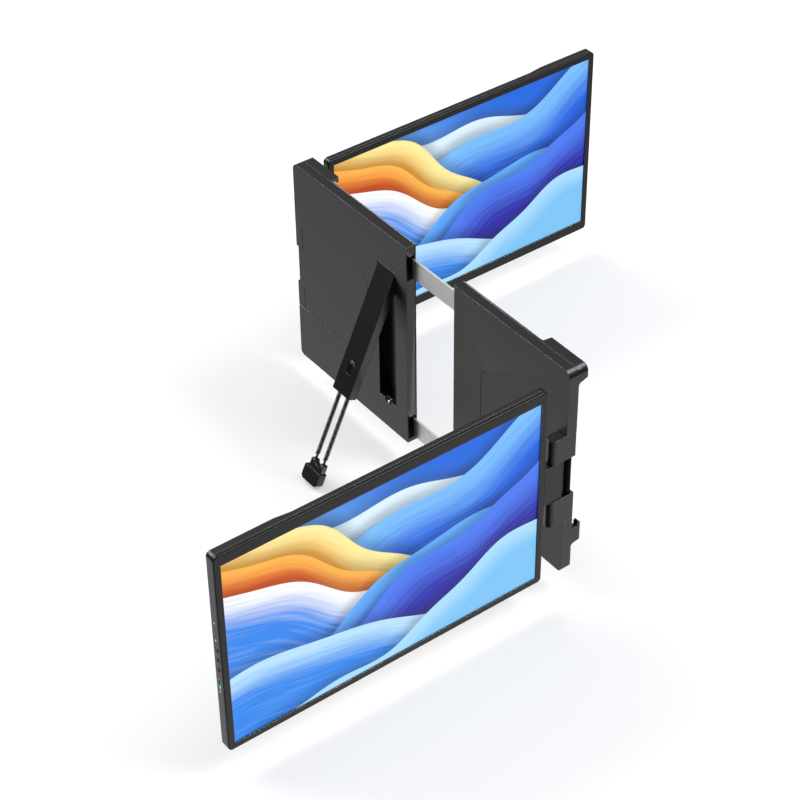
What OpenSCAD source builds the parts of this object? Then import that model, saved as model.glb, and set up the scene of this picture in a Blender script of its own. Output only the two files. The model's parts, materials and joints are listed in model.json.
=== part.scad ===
// Laptop screen extender: a sliding bracket that hooks onto a laptop lid and
// carries a folding monitor on a double hinge at each end, with an extending
// rear stand.  Millimetres, +Z up, the user sits on the +Y side.  The origin is
// midway between the bracket's ends, in the plane of the hinge axes, at the
// height of the stand's lowest corner.

/* [View] */
// Piece to draw, or all of them

/* [Screens] */
// Width of the picture area of each monitor
view_w = 301.6; // [290:0.2:310]
// Height of the picture area of each monitor
view_h = 188.5; // [184:0.5:190]
// Border at the two short edges
side_border = 6; // [5:0.5:9]
// Border at one long edge
slim_border = 6.2; // [5:0.1:8]
// Border at the other long edge, over the panel's circuits
chin_border = 10.3; // [9:0.1:14]
// Thickness of a monitor at its hinge edge
screen_t = 7.9; // [7.6:0.1:8.4]
// Thickness of a monitor at its free edge
grip_t = 9.8; // [9.4:0.1:11]
// Width of the thick strip along the free edge
grip_w = 59; // [56:1:80]
// Corner radius of a monitor
screen_corner = 4; // [3:0.5:8]

/* [Bracket] */
// Width of the housing that the stand folds into
left_w = 167.6; // [164:0.2:185]
// Width of the housing that the rails are fixed to
right_w = 147.4; // [140:0.2:170]
// Open gap between the housings
gap_w = 66; // [60:0.5:75]
// Height of both housings
housing_h = 215; // [212:1:240]
// Thickness of both housings
housing_t = 10.4; // [10.4:0.1:12]
// Radius of the outer top corners
top_corner = 7; // [3:0.5:10]
// Radius of the outer bottom corners
low_corner = 4.5; // [2:0.5:8]

/* [Hinges] */
// Distance between the two axes of a double hinge
link_l = 15; // [14:0.5:20]
// Distance from the second axis to the monitor's edge
setback = 11.5; // [11:0.5:16]
// Distance from the second axis to the plane of the display
face_offset = 5; // [4.9:0.1:5.2]
// Height of the hinges' middle above the housings' bottom
hinge_mid = 105; // [104:0.5:107]
// Height of the knuckle between the arms
knuckle_h = 39.2; // [30:0.2:44]
// Diameter of the hinge pins
hinge_pin_d = 4; // [3:0.1:4.4]

/* [Lid hooks] */
// Distance that the hooks stand out from the housings
hook_reach = 9; // [8.6:0.1:11]
// Width of the space for the laptop's lid
lid_gap = 5.8; // [5:0.1:6]
// Length of a top hook
hook_l = 47.4; // [40:0.1:60]
// Drop of a top hook's lip
lip_drop = 5.5; // [4:0.1:8]
// Width of a bottom hook
finger_w = 5; // [4.4:0.1:8]

/* [Rails] */
// Height of each rail's strip
rail_h = 20; // [16:0.5:20]
// Thickness of each rail's strip
rail_t = 2; // [1.6:0.1:2]
// Length of rail inside the left housing
rail_in_left = 95; // [90:1:100]
// Length of rail inside the right housing
rail_in_right = 60; // [50:1:90]

/* [Stand] */
// Middle of the stand, across the bracket
stand_x = -52; // [-54:0.5:-51]
// Opening angle of the stand
stand_angle = 24.8; // [23:0.1:32]
// Width of the stand's leg
leg_w = 24; // [22:0.5:25]
// Thickness of the stand's leg
leg_t = 8.6; // [8:0.1:8.6]
// Length of the leg from its pivot
leg_l = 124.6; // [120:0.2:130]
// Length of rod standing out of the leg
rods_out = 78.5; // [75:0.5:82]
// Diameter of the two threaded rods
rod_d = 4.6; // [4:0.1:4.8]
// Distance between the middles of the rods
rod_pitch = 11.7; // [11.4:0.1:13]
// Length of the rubber foot
foot_l = 14; // [10:0.5:16]

/* [Buttons] */
// Diameter of the three menu buttons on a monitor
button_d = 3.6; // [3:0.1:3.6]
// Spacing of the menu buttons
button_pitch = 10.2; // [9:0.1:11]

/* [Hidden] */

$fn = 64;
run_gap = 0.05;      // radial clearance of pins and plungers
slide_gap = 0.3;     // clearance between parts that swing past each other

// colours
shell_grey = "#424242";
cover_grey = "#383838";
hook_grey = "#2e2e2e";
arm_grey = "#3a3a3a";
hinge_black = "#161616";
steel = "#a8a8a8";
rail_silver = "#c0c0c0";
rubber_black = "#1c1c1c";
display_blue = "#3f6fb5";
board_green = "#2c5a3c";

// bracket
half_w = (left_w + gap_w + right_w) / 2;
left_in = half_w - left_w;       // inner end, measured outwards from x = 0
right_in = half_w - right_w;
back_y = -housing_t / 2;
front_y = housing_t / 2;
plate_t = 1.5;                   // user-side shell
inner_y = front_y - plate_t;
wall = 2.4;
end_wall = 3;

// double hinge: the first axis is in the housing, the second in the monitor
axle_in = housing_t / 2;
axle_x = half_w - axle_in;
pin_r = hinge_pin_d / 2;
arm_heel = housing_t / 2;        // from the first axis to the arm's square end
arm_corner = 0.3;
swing_r = (arm_heel - arm_corner) * sqrt(2) + arm_corner;
room_r = swing_r + slide_gap;    // round room for the arms in the housing
recess_x = axle_x - room_r;
arm_over = 0.5;                  // between an arm and the room's floor or roof
arm_reach = [47.7, 45.2];        // of the arms, below and above the hinge's middle
arm_gap = 0.4;                   // between an arm and the knuckle
low_arm = [hinge_mid - arm_reach[0], hinge_mid - knuckle_h / 2 - arm_gap];
high_arm = [hinge_mid + knuckle_h / 2 + arm_gap, hinge_mid + arm_reach[1]];
recess_z = [low_arm[0] - arm_over, high_arm[1] + arm_over];
axle_over = 12;                  // axle held in the housing, at each end
knuckle_pin_in = 22;             // knuckle pin inside each arm
knuckle_half = 4.4;              // half the knuckle's thickness
knuckle_nose = 7.4;              // from the second axis towards the first
barrel_r = 4.3;

// cover plate over the hinge, flush with the housing's back
cover_l = 110;                   // inwards from the housing's outer end
cover_t = 1.2;
cover_gap = 0.4;
cover_corner = 6;
tongue_in = 3;                   // its tongue between the arms stops short of the end

// rails
high_rail_z = housing_h - 34.2;
low_rail_z = 5;
rail_y = [inner_y - 0.1 - rail_t, inner_y - 0.1];
channel_gap = 0.6;
mouth_l = 12;
mouth_h = 24.6;
mouth_y = back_y + 0.9;
stop_w = 3.6;
stop_t = 2.7;
guide_near = from(left_in, [0.3, 9.3]);  // from x = 0 outwards
guide_far = [68, 84];
channel_end = half_w - end_wall;

// stand, in its own frame: the pivot is the origin and the leg hangs down
pivot_in = 2.8;
pivot_y = back_y + pivot_in;
pivot_drop = 38.52;              // from the housings' top
pivot_z = housing_h - pivot_drop;
pivot_pin_r = 1.25;
slot_margin = 0.5;
slot_low = 31.5;
rod_mid = stand_x + 0.8;
rod_y = leg_t / 2 - pivot_in;
rod_r = rod_d / 2;
rod_inside = 36;                 // length of rod held in the leg
rod_top = leg_l - rod_inside;
foot_top = leg_l + rods_out;
collar_l = 8.5;                  // block that joins the rods above the foot
collar_top = foot_top - collar_l;
collar_side = 3;                 // from a rod's middle to the collar's side
collar_half = 2.9;               // half the collar's thickness
collar_ledge = 0.3;              // from a rod to the notch between the rods
foot_end = foot_top + foot_l;
foot_w = leg_w - 1.5;
press_z = leg_l - 26;            // middle of the release button
press_x = rod_mid - 0.4;
press_travel = 0.8;
bore_top = 13;
collar_room = 3.6;               // depth of the hollow for the collar in the leg's end
rods_between = rod_pitch / 2 - rod_r;  // half the space between the rods
pawl_z = 3.5;                    // half-height of the pawl and the stem
pawl_y = [rod_y - 0.9, rod_y + 1.2];
stem_w = 1.6;
ring_h = 0.6;
cap_size = [7.5, 11];
cap_h = [0.9, 0.6];              // above and below the leg's face
base_z = (leg_t - pivot_in) * sin(stand_angle) + foot_end * cos(stand_angle)
         - pivot_z;

// monitors, in their own frame: +X is the display's normal, the hinge edge is
// at y = 0 and the free edge at y = -screen_w
screen_w = view_w + 2 * side_border;
screen_h = view_h + slim_border + chin_border;
bezel_t = 3.6;
glass_back = 1.4;                // from the bezel's face to the glass
glass_t = 1.2;
glass_lap = 1.3;
cover_wall = 1.2;
rim_wall = 1.6;
slope_w = 15;
port_x = -6;
screen_low = hinge_mid - screen_h / 2;
edge_features = screen_h / 2;    // buttons and ports are placed from mid-height
button_z = [for (i = [0:2]) 4 - i * button_pitch];
button_flange = 0.5;
port_mid = -31.5;
port_size = [3.4, 11];
port_depth = 7.5;
port_wall = 0.4;
dot_z = [33.2, 15.2, -39.6];
board_w = 48;
board_h = 120;
boss_x = [-7.6, -bezel_t];

// ---------------------------------------------------------------- helpers
// both ends of a span, moved by the same distance
function from(place, span) = [for (a = span) place + a];
function about(middle, half) = [middle - half, middle + half];

module up() translate([0, 0, base_z]) children();

// rounded rectangle from a corner, in the plane
module rounded(w, h, r) {
  translate([r, 0]) square([w - 2 * r, h]);
  translate([0, r]) square([w, h - 2 * r]);
  for (x = [r, w - r], y = [r, h - r]) translate([x, y]) circle(r);
}

// stadium standing on its short ends, centred
module stadium(w, h) {
  square([w, h - w], center = true);
  for (s = [-1, 1]) translate([0, s * (h - w) / 2]) circle(w / 2);
}

// drawing in x and z, made solid between y0 and y1
module slab_y(y0, y1)
  translate([0, y1, 0]) rotate([90, 0, 0]) linear_extrude(y1 - y0) children();

// drawing in y and z, made solid between x0 and x1
module slab_x(x0, x1)
  translate([x0, 0, 0]) rotate([90, 0, 90]) linear_extrude(x1 - x0) children();

// drawing in x and y, made solid between z0 and z1
module slab_z(z0, z1) translate([0, 0, z0]) linear_extrude(z1 - z0) children();

module block(x, y, z)
  translate([x[0], y[0], z[0]]) cube([x[1] - x[0], y[1] - y[0], z[1] - z[0]]);

module rod_z(x, y, r, z0, z1) translate([x, y, z0]) cylinder(r = r, h = z1 - z0);

module rod_towards_y(x, z, r, y0, y1)
  translate([x, y0, z]) rotate([-90, 0, 0]) cylinder(r = r, h = y1 - y0);

module left_side() mirror([1, 0, 0]) children();

// ------------------------------------------------- housings, outer end at +x
// two rows of screws: the first column is set out from the housing's inner end
screw_inset = 9;
screw_back = [78.5, 26.5];       // from the outer end to the other columns
screw_rows = [40, housing_h - 47];
function screw_xz(x_in) = [
  for (x = [x_in + screw_inset, for (b = screw_back) half_w - b], z = screw_rows) [x, z]
];

screw_r = 0.9;
head_r = 1.8;
boss_r = 2.6;
screw_l = 6;
rail_clear = 6;                  // from a rail to the hollow of a housing

module housing_outline(x_in) {
  translate([x_in, 0]) square([half_w - x_in - top_corner, housing_h]);
  translate([x_in, low_corner])
    square([half_w - x_in, housing_h - low_corner - top_corner]);
  translate([half_w - top_corner, housing_h - top_corner]) circle(top_corner);
  translate([half_w - low_corner, low_corner]) circle(low_corner);
  translate([half_w - top_corner - 1, 0])
    square([top_corner + 1 - low_corner, low_corner + 1]);
}

// the room in which the arms swing
module arm_room() rod_z(axle_x, 0, room_r, recess_z[0], recess_z[1]);

// rounded at its inner end only; the gap is twice as wide below
module cover_outline(gap, end_x) intersection() {
  translate([half_w - cover_l - gap, low_arm[0] - 2 * gap])
    rounded(cover_l + 2 * cover_corner, high_arm[1] - low_arm[0] + 3 * gap, cover_corner);
  square([end_x, housing_h]);
}

// hollow between the rails, with the screws' bosses left standing
module pocket(x_in, x0, x1) difference() {
  block([x0, x1], [back_y + wall, inner_y + 1],
        [low_rail_z + rail_h + rail_clear, high_rail_z - rail_clear]);
  for (p = screw_xz(x_in))
    rod_towards_y(p[0], p[1], boss_r, back_y, inner_y + 1);
}

module channel(x_in, z0)
  block([x_in + mouth_l - 1, channel_end], [-1.5, inner_y + 1],
        [z0 - channel_gap, z0 + rail_h + channel_gap]);

module mouth(x_in, z0)
  block([x_in - 1, x_in + mouth_l], [mouth_y, inner_y + 1],
        from(z0 - channel_gap, [0, mouth_h]));

module back_shell(x_in, pockets) difference() {
  slab_y(back_y, inner_y) housing_outline(x_in);
  slab_y(back_y - 1, back_y + cover_t) cover_outline(cover_gap, half_w + 1);
  arm_room();
  for (p = pockets) pocket(x_in, p[0], p[1]);
  axle_pin();
  for (p = screw_xz(x_in))
    rod_towards_y(p[0], p[1], screw_r, inner_y - screw_l + plate_t, inner_y + 1);
}

module front_shell(x_in) difference() {
  slab_y(inner_y, front_y) housing_outline(x_in);
  arm_room();
  block([half_w - hook_l, half_w + 1], [inner_y - 1, front_y + 1],
        [housing_h - hook_root, housing_h + 1]);
  block([half_w - low_hook_l, half_w + 1], [inner_y - 1, front_y + 1], low_hook_z);
  for (p = screw_xz(x_in)) {
    rod_towards_y(p[0], p[1], screw_r, inner_y - 1, front_y + 1);
    rod_towards_y(p[0], p[1], head_r, front_y - 1, front_y + 1);
  }
}

// its tongue is hollowed to the barrel's round
module cover_plate() difference() {
  slab_y(back_y, back_y + cover_t) cover_outline(0, half_w - tongue_in);
  for (z = [[recess_z[0], low_arm[1] + slide_gap], [high_arm[0] - slide_gap, recess_z[1]]])
    rod_z(axle_x, 0, room_r, z[0], z[1]);
  rod_z(axle_x, 0, barrel_r + slide_gap, recess_z[0], recess_z[1]);
}

// cheese-head screws, flush with the user side
module shell_screws(x_in) for (p = screw_xz(x_in)) {
  rod_towards_y(p[0], p[1], head_r, front_y - 1, front_y);
  rod_towards_y(p[0], p[1], screw_r, inner_y - screw_l + plate_t, front_y - 1);
}

module axle_pin()
  rod_z(axle_x, 0, pin_r, recess_z[0] - axle_over, recess_z[1] + axle_over);

// rubber strips that rest on the laptop's lid
pad_t = 0.6;
pad_high = [about(half_w - 26.5, 20), about(housing_h - 26.5, 4.5)];
pad_low = [about(half_w - 33.5, 17), about(32.5, 4.5)];

module lid_pads() {
  block(pad_high[0], [front_y, front_y + pad_t], pad_high[1]);
  block(pad_low[0], [front_y, front_y + pad_t], pad_low[1]);
}

// ------------------------------------------------------------- lid hooks
hook_y = front_y + hook_reach;
lip_y = front_y + lid_gap;
bar_t = 2;
hook_root = 18;
hook_slant = 2.7;
hook_fillet = 2;                 // where the inner end meets the housing
hook_round = 2.2;                // at the lip's inner corner
tip_r = 1.2;
cheek_t = 2;

module hook_profile() {
  translate([inner_y, housing_h - hook_root]) square([plate_t, hook_root]);
  translate([inner_y, housing_h - bar_t]) square([hook_y - inner_y - tip_r, bar_t]);
  translate([lip_y, housing_h - lip_drop])
    rounded(hook_y - lip_y, lip_drop, tip_r);
}

// end wall that stops against the lid's side, with a hollowed underside
module hook_cheek() {
  low_z = housing_h - hook_root;
  side_z = low_z + 5;
  polygon([
    [front_y - 0.5, low_z], [front_y, low_z],
    for (a = [15:15:90])
      [front_y + 4 * (1 - cos(a)), low_z + 3.6 * sin(a)],
    [lip_y, side_z - 0.8], [lip_y + 1.5, side_z + 0.4], [lip_y + 1.5, housing_h - 1],
    [front_y - 0.5, housing_h - 1]
  ]);
  translate([lip_y, side_z]) rounded(hook_y - lip_y, housing_h - side_z, tip_r);
}

module top_hook() difference() {
  union() {
    slab_x(half_w - hook_l, half_w) hook_profile();
    slab_x(half_w - cheek_t, half_w) hook_cheek();
  }
  slab_y(inner_y - 1, hook_y + 1) difference() {
    translate([half_w - top_corner, housing_h - top_corner]) square(top_corner + 1);
    translate([half_w - top_corner, housing_h - top_corner]) circle(top_corner);
  }
  slab_z(housing_h - hook_root - 1, housing_h + 1)
    translate([half_w - hook_l, front_y]) hook_end_cut();
}

// what the inner end of a top hook leaves free, drawn from its root
module hook_end_cut() polygon([
  [-1, 0],
  for (a = [0:15:75]) hook_fillet * [sin(a), 1 - cos(a)],
  for (a = [0:15:75])
    [hook_slant, hook_reach - hook_round] + hook_round * [1 - cos(a), sin(a)],
  [hook_slant + hook_round, hook_reach + 0.5], [-1, hook_reach + 0.5]
]);

low_hook_l = 12;
low_hook_z = [22, 50];

module bottom_hook() {
  notch_z = low_hook_z[1] - 6;
  lip_z = low_hook_z[1] - 1.6;
  finger_z = low_hook_z[0] + 2;
  block([half_w - low_hook_l, half_w], [inner_y, front_y], low_hook_z);
  slab_x(half_w - finger_w, half_w) {
    polygon([
      [front_y - 0.5, finger_z],
      for (a = [0:15:90]) [front_y + 3 * (1 - cos(a)), finger_z + 3 * sin(a)],
      [hook_y, finger_z + 4], [hook_y, lip_z - tip_r],
      [hook_y - tip_r, lip_z], [lip_y + tip_r, lip_z], [lip_y, lip_z - tip_r],
      [lip_y, notch_z], [front_y - 0.5, notch_z]
    ]);
  }
}

// ----------------------------------------------------------------- rails
module rail(z0) {
  x0 = -left_in - rail_in_left;
  difference() {
    block([x0, right_in + rail_in_right], rail_y, [z0, z0 + rail_h]);
    for (x = rail_screw_x) {
      rod_towards_y(x, z0 + rail_h / 2, 1, rail_y[0] - 1, rail_y[1] + 1);
      rod_towards_y(x, z0 + rail_h / 2, 2, rail_y[1] - 0.9, rail_y[1] + 1);
    }
  }
  block([x0, x0 + stop_w], [rail_y[0] - stop_t, rail_y[0]],
        [z0 + 4, z0 + rail_h - 4]);
}

rail_screw_x = [right_in + 20, right_in + rail_in_right - 12];

module rail_screw(x, z) {
  rod_towards_y(x, z, 2, rail_y[1] - 0.9, rail_y[1]);
  rod_towards_y(x, z, 1, rail_y[0] - 3, rail_y[1] - 0.9);
}

// the near guide fills the mouth, the far one the channel
module rail_guide(z0) difference() {
  union() {
    block([-guide_near[1], -guide_near[0]], [mouth_y, inner_y],
          from(z0 - channel_gap, [0, mouth_h]));
    block([-guide_far[1], -guide_far[0]], [-1.5, inner_y],
          [z0 - channel_gap, z0 + rail_h + channel_gap]);
  }
  block([-guide_far[1] - 1, 1 - guide_near[0]], [rail_y[0] - run_gap, inner_y + 1],
        [z0 - run_gap, z0 + rail_h + run_gap]);
}

// --------------------------------------------------- link arms and barrel
// The link points towards -y from the first axis at the origin.
module arm_outline() {
  translate([-arm_heel, -link_l]) square([2 * arm_heel, link_l + 1]);
  translate([-arm_heel, -1]) rounded(2 * arm_heel, 1 + arm_heel, arm_corner);
  translate([-arm_heel, -1]) square([2 * arm_heel, 1 + arm_heel - arm_corner]);
  translate([0, -link_l]) circle(arm_heel);
}

module arm(z, pin_z) difference() {
  slab_z(z[0], z[1]) arm_outline();
  rod_z(0, 0, pin_r + run_gap, z[0] - 1, z[1] + 1);
  rod_z(0, -link_l, pin_r + run_gap, pin_z[0], pin_z[1]);
}

module upper_arm()
  arm(high_arm, [high_arm[0] - 1, high_arm[0] + knuckle_pin_in + 0.5]);

module lower_arm()
  arm(low_arm, [low_arm[1] - knuckle_pin_in - 0.5, low_arm[1] + 1]);

module link_barrel() difference() {
  rod_z(0, 0, barrel_r, low_arm[1], high_arm[0]);
  rod_z(0, 0, pin_r + run_gap, low_arm[1] - 1, high_arm[0] + 1);
}

module right_link() translate([axle_x, 0, 0]) children();
module left_link() rotate([0, 0, 180]) right_link() children();

// ---------------------------------------------------------------- monitor
module right_screen()
  translate([axle_x + face_offset, -link_l - setback, screen_low]) children();

module left_screen()
  translate([-axle_x + face_offset, link_l + setback, screen_low + screen_h])
    rotate([180, 0, 0]) children();

module screen_plate(x0, x1, inset, r)
  slab_x(x0, x1) translate([-screen_w + inset, inset])
    rounded(screen_w - 2 * inset, screen_h - 2 * inset, r);

module picture(x0, x1, lap)
  slab_x(x0, x1) translate([-screen_w + side_border - lap, slim_border - lap])
    square([view_w + 2 * lap, view_h + 2 * lap]);

module bezel() difference() {
  screen_plate(-bezel_t, 0, 0, screen_corner);
  picture(-bezel_t, 1, 0);
  picture(-bezel_t - 1, -glass_back, glass_lap);
}

module display() picture(-glass_back - glass_t, -glass_back, glass_lap);

module light_guide() picture(-bezel_t, -glass_back - glass_t, glass_lap);

// section of the back cover across its height, thicker at the free edge
module cover_section(x_front, x_thin, x_thick, inset) polygon([
  [x_front, -inset], [x_thin, -inset], [x_thin, -screen_w + grip_w + slope_w],
  [x_thick, -screen_w + grip_w], [x_thick, -screen_w + inset],
  [x_front, -screen_w + inset]
]);

tang_x = [-6.4, -4.2];
tang_z = 15;                     // half its height
tang_l = 18;

module tang()
  block(tang_x, [-tang_l, setback], about(edge_features, tang_z));

module back_cover() difference() {
  intersection() {
    screen_plate(-grip_t, -bezel_t, 0, screen_corner);
    slab_z(0, screen_h) cover_section(-bezel_t, -screen_t, -grip_t, 0);
  }
  difference() {
    intersection() {
      screen_plate(-grip_t, -bezel_t + 1, rim_wall, screen_corner - rim_wall);
      slab_z(0, screen_h)
        cover_section(1, cover_wall - screen_t, cover_wall - grip_t, rim_wall);
    }
    block([-screen_t, tang_x[0]], [-tang_l - 4, 0],
          about(edge_features, tang_z + 4));
    for (z = about(0, board_h / 2 - 5), y = [8, board_w - 6])
      translate([-grip_t, y - screen_w, z + edge_features])
        rotate([0, 90, 0]) cylinder(r = 2.5, h = grip_t + boss_x[0]);
  }
  tang();
  for (z = button_z) plunger_bore(z, button_d / 2 + run_gap);
  port_slot();
  for (z = dot_z) edge_screw(z);
}

module plunger_bore(z, r)
  translate([port_x, -screen_w - 1, z + edge_features])
    rotate([-90, 0, 0]) cylinder(r = r, h = rim_wall + 2);

// stadium along the free edge, from y0 to y1 behind it
module port_slot(wall_t = 0, y0 = 0, y1 = port_depth)
  translate([port_x, y0 - screen_w, edge_features + port_mid])
    rotate([-90, 0, 0]) linear_extrude(y1 - y0)
      stadium(port_size[0] - 2 * wall_t, port_size[1] - 2 * wall_t);

module usb_port() difference() {
  port_slot();
  port_slot(port_wall, -1, port_depth - 1.5);
}

module edge_screw(z)
  translate([port_x, -screen_w, z + edge_features]) rotate([-90, 0, 0])
    cylinder(r = 0.9, h = rim_wall);

module edge_screws() for (z = dot_z) edge_screw(z);

module menu_button(i) translate([port_x, -screen_w, button_z[i] + edge_features])
  rotate([-90, 0, 0]) {
    translate([0, 0, -0.5]) cylinder(r = button_d / 2, h = 0.5 + rim_wall + 0.3);
    translate([0, 0, rim_wall + 0.3])
      cylinder(r = button_d / 2 + button_flange, h = 0.8);
  }

module control_board() {
  difference() {
    block(from(boss_x[0], [0, 1.2]), [-screen_w + 3.2, -screen_w + 3.2 + board_w],
          about(edge_features, board_h / 2));
    block([boss_x[0] - 1, boss_x[1]], [-screen_w, -screen_w + 7.5],
          about(edge_features + port_mid, port_size[1] / 2));
    block([boss_x[0] - 1, boss_x[1]], [-screen_w, -screen_w + 5],
          from(edge_features, [button_z[2] - 4, button_z[0] + 4]));
  }
  for (z = [-32, 30])
    block(from(boss_x[0], [1.2, 2.6]), [-screen_w + 22, -screen_w + 34],
          about(edge_features + z, 6));
}

module knuckle() difference() {
  union() {
    block(about(-face_offset, knuckle_half), [slide_gap, setback + knuckle_nose],
          about(edge_features, knuckle_h / 2));
    tang();
  }
  rod_z(-face_offset, setback, pin_r, 0, screen_h);
}

module knuckle_pin() rod_z(-face_offset, setback, pin_r,
  edge_features - knuckle_h / 2 - arm_gap - knuckle_pin_in,
  edge_features + knuckle_h / 2 + arm_gap + knuckle_pin_in);

// ------------------------------------------------------------------ stand
module on_stand() translate([0, pivot_y, pivot_z])
  rotate([-stand_angle, 0, 0]) children();

slot_x = about(stand_x, leg_w / 2 + slot_margin);
slot_corner = 0.5;               // at the slot's lower end
pin_in_wall = 3;

module stand_slot() {
  slot_w = slot_x[1] - slot_x[0];
  slab_y(back_y - 1, inner_y + 1) translate([slot_x[0], slot_low]) {
    rounded(slot_w, 3 * slot_corner, slot_corner);
    translate([0, slot_corner]) square([slot_w, pivot_z - slot_low - slot_corner]);
  }
  translate([slot_x[0], pivot_y, pivot_z]) rotate([0, 90, 0])
    cylinder(r = pivot_in + slide_gap, h = slot_x[1] - slot_x[0]);
  block(slot_x, [back_y - 1, pivot_y], [pivot_z - 1, pivot_z + pivot_in + slide_gap]);
}

module leg_pin(r) translate([slot_x[0] - pin_in_wall, pivot_y, pivot_z])
  rotate([0, 90, 0])
    cylinder(r = r, h = slot_x[1] - slot_x[0] + 2 * pin_in_wall);

module leg() difference() {
  leg_x = about(stand_x, leg_w / 2);
  union() {
    slab_x(leg_x[0], leg_x[1]) {
      circle(pivot_in);
      translate([-pivot_in, -leg_l]) square([leg_t, leg_l]);
    }
    slab_y(-pivot_in - ring_h, -pivot_in + 0.2)
      press_place() stadium(cap_size[0] + 2.5, cap_size[1] + 2.5);
  }
  translate([leg_x[0] - 1, 0, 0]) rotate([0, 90, 0])
    cylinder(r = pivot_pin_r + run_gap, h = leg_w + 2);
  for (s = [-1, 1])
    rod_z(rod_mid + s * rod_pitch / 2, rod_y, rod_r + run_gap, -leg_l - 1, -bore_top);
  block(about(rod_mid, rod_pitch / 2 + collar_side + slide_gap),
        about(rod_y, collar_half + slide_gap), [-leg_l - 1, collar_room - leg_l]);
  slab_y(-pivot_in - 1, -pivot_in + cap_h[1] + press_travel + 0.1)
    press_place() stadium(cap_size[0] + 2 * run_gap, cap_size[1] + 2 * run_gap);
  block(about(rod_mid, stem_w + slide_gap), [-pivot_in, rod_y],
        about(-press_z, pawl_z + slide_gap));
  block(about(rod_mid, rods_between + 0.25),
        [pawl_y[0] - slide_gap, pawl_y[1] + press_travel + slide_gap],
        about(-press_z, pawl_z + slide_gap));
}

module press_place() translate([press_x, -press_z]) children();

module release_button() {
  slab_y(-pivot_in - cap_h[0], -pivot_in + cap_h[1])
    press_place() stadium(cap_size[0], cap_size[1]);
  block(about(rod_mid, stem_w), [-pivot_in + cap_h[1], pawl_y[0]],
        about(-press_z, pawl_z));
}

module lock_pawl()
  block(about(rod_mid, rods_between - 0.2), pawl_y, about(-press_z, pawl_z));

// the rods end in a collar with a round notch between them
module rods() {
  for (s = [-1, 1])
    rod_z(rod_mid + s * rod_pitch / 2, rod_y, rod_r, -collar_top - 1, -rod_top);
  translate([rod_mid, 0, 0]) slab_y(rod_y - collar_half, rod_y + collar_half)
    difference() {
      translate([-rod_pitch / 2 - collar_side, -foot_top])
        square([rod_pitch + 2 * collar_side, collar_l]);
      translate([0, -collar_top]) circle(rods_between - collar_ledge);
    }
}

module foot() {
  cut = 2.5;
  x = stand_x - leg_w / 2;
  slab_y(-pivot_in, leg_t - pivot_in) polygon([
    [x, -foot_top], [x, -foot_end + cut], [x + cut, -foot_end],
    [x + foot_w - cut, -foot_end], [x + foot_w, -foot_end + cut],
    [x + foot_w, -foot_top]
  ]);
}

// spring-loaded ball in a round catch below the slot, which holds the folded stand
dome_x = stand_x;
dome_z = slot_low - 2.7;
dome_r = 1.7;
dome_out = 0.3;                  // it stands out from the housing's back
dome_back = back_y + 4.2;
catch_z = slot_low + 0.2;
catch_r = 4.9;
catch_depth = 3;

module dome_place(r, y0, y1) rod_towards_y(dome_x, dome_z, r, y0, y1);

module dome_catch() {
  rod_towards_y(dome_x, catch_z, catch_r, back_y - 1, back_y + catch_depth);
  dome_place(dome_r + run_gap, back_y, dome_back + 0.6);
}

module dome_solid() {
  dome_place(dome_r - 0.6, back_y - dome_out, back_y + dome_out);
  dome_place(dome_r, back_y + dome_out, dome_back);
}

// ------------------------------------------------------------ left housing
module left_back_shell() color(shell_grey) up() difference() {
  left_side() back_shell(left_in, [
    [5.5 - slot_x[0], recess_x - 4], [left_in + 4, -slot_x[1] - 3]
  ]);
  left_side() for (z = [high_rail_z, low_rail_z]) {
    channel(left_in, z);
    mouth(left_in, z);
  }
  stand_slot();
  leg_pin(pivot_pin_r);
  dome_catch();
}

module left_front_shell() color(shell_grey) up() left_side() front_shell(left_in);

module left_cover_plate() color(cover_grey) up() left_side() cover_plate();
module left_top_hook() color(hook_grey) up() left_side() top_hook();
module left_bottom_hook() color(hook_grey) up() left_side() bottom_hook();
module left_lid_pads() color(rubber_black) up() left_side() lid_pads();
module left_shell_screws() color(steel) up() left_side() shell_screws(left_in);
module left_axle_pin() color(steel) up() left_side() axle_pin();
module upper_rail_guides() color(hinge_black) up() rail_guide(high_rail_z);
module lower_rail_guides() color(hinge_black) up() rail_guide(low_rail_z);
module stand_pivot_pin() color(steel) up() leg_pin(pivot_pin_r);
module detent_dome() color(steel) up() dome_solid();

// ----------------------------------------------------------- right housing
module rail_seat(z0)
  block([right_in - 1, right_in + rail_in_right + 0.3],
        [rail_y[0], inner_y + 1], [z0, z0 + rail_h]);

module right_back_shell() color(shell_grey) up() difference() {
  back_shell(right_in, [[right_in + 5, recess_x - 4]]);
  for (z = [high_rail_z, low_rail_z]) {
    rail_seat(z);
    for (x = rail_screw_x)
      rod_towards_y(x, z + rail_h / 2, 1, rail_y[0] - 3, rail_y[0] + 1);
  }
}

module right_front_shell() color(shell_grey) up() front_shell(right_in);
module right_cover_plate() color(cover_grey) up() cover_plate();
module right_top_hook() color(hook_grey) up() top_hook();
module right_bottom_hook() color(hook_grey) up() bottom_hook();
module right_lid_pads() color(rubber_black) up() lid_pads();
module right_shell_screws() color(steel) up() shell_screws(right_in);
module right_axle_pin() color(steel) up() axle_pin();
module upper_rail() color(rail_silver) up() rail(high_rail_z);
module lower_rail() color(rail_silver) up() rail(low_rail_z);
module rail_screws() color(steel) up()
  for (x = rail_screw_x, z = [high_rail_z, low_rail_z])
    rail_screw(x, z + rail_h / 2);

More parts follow.
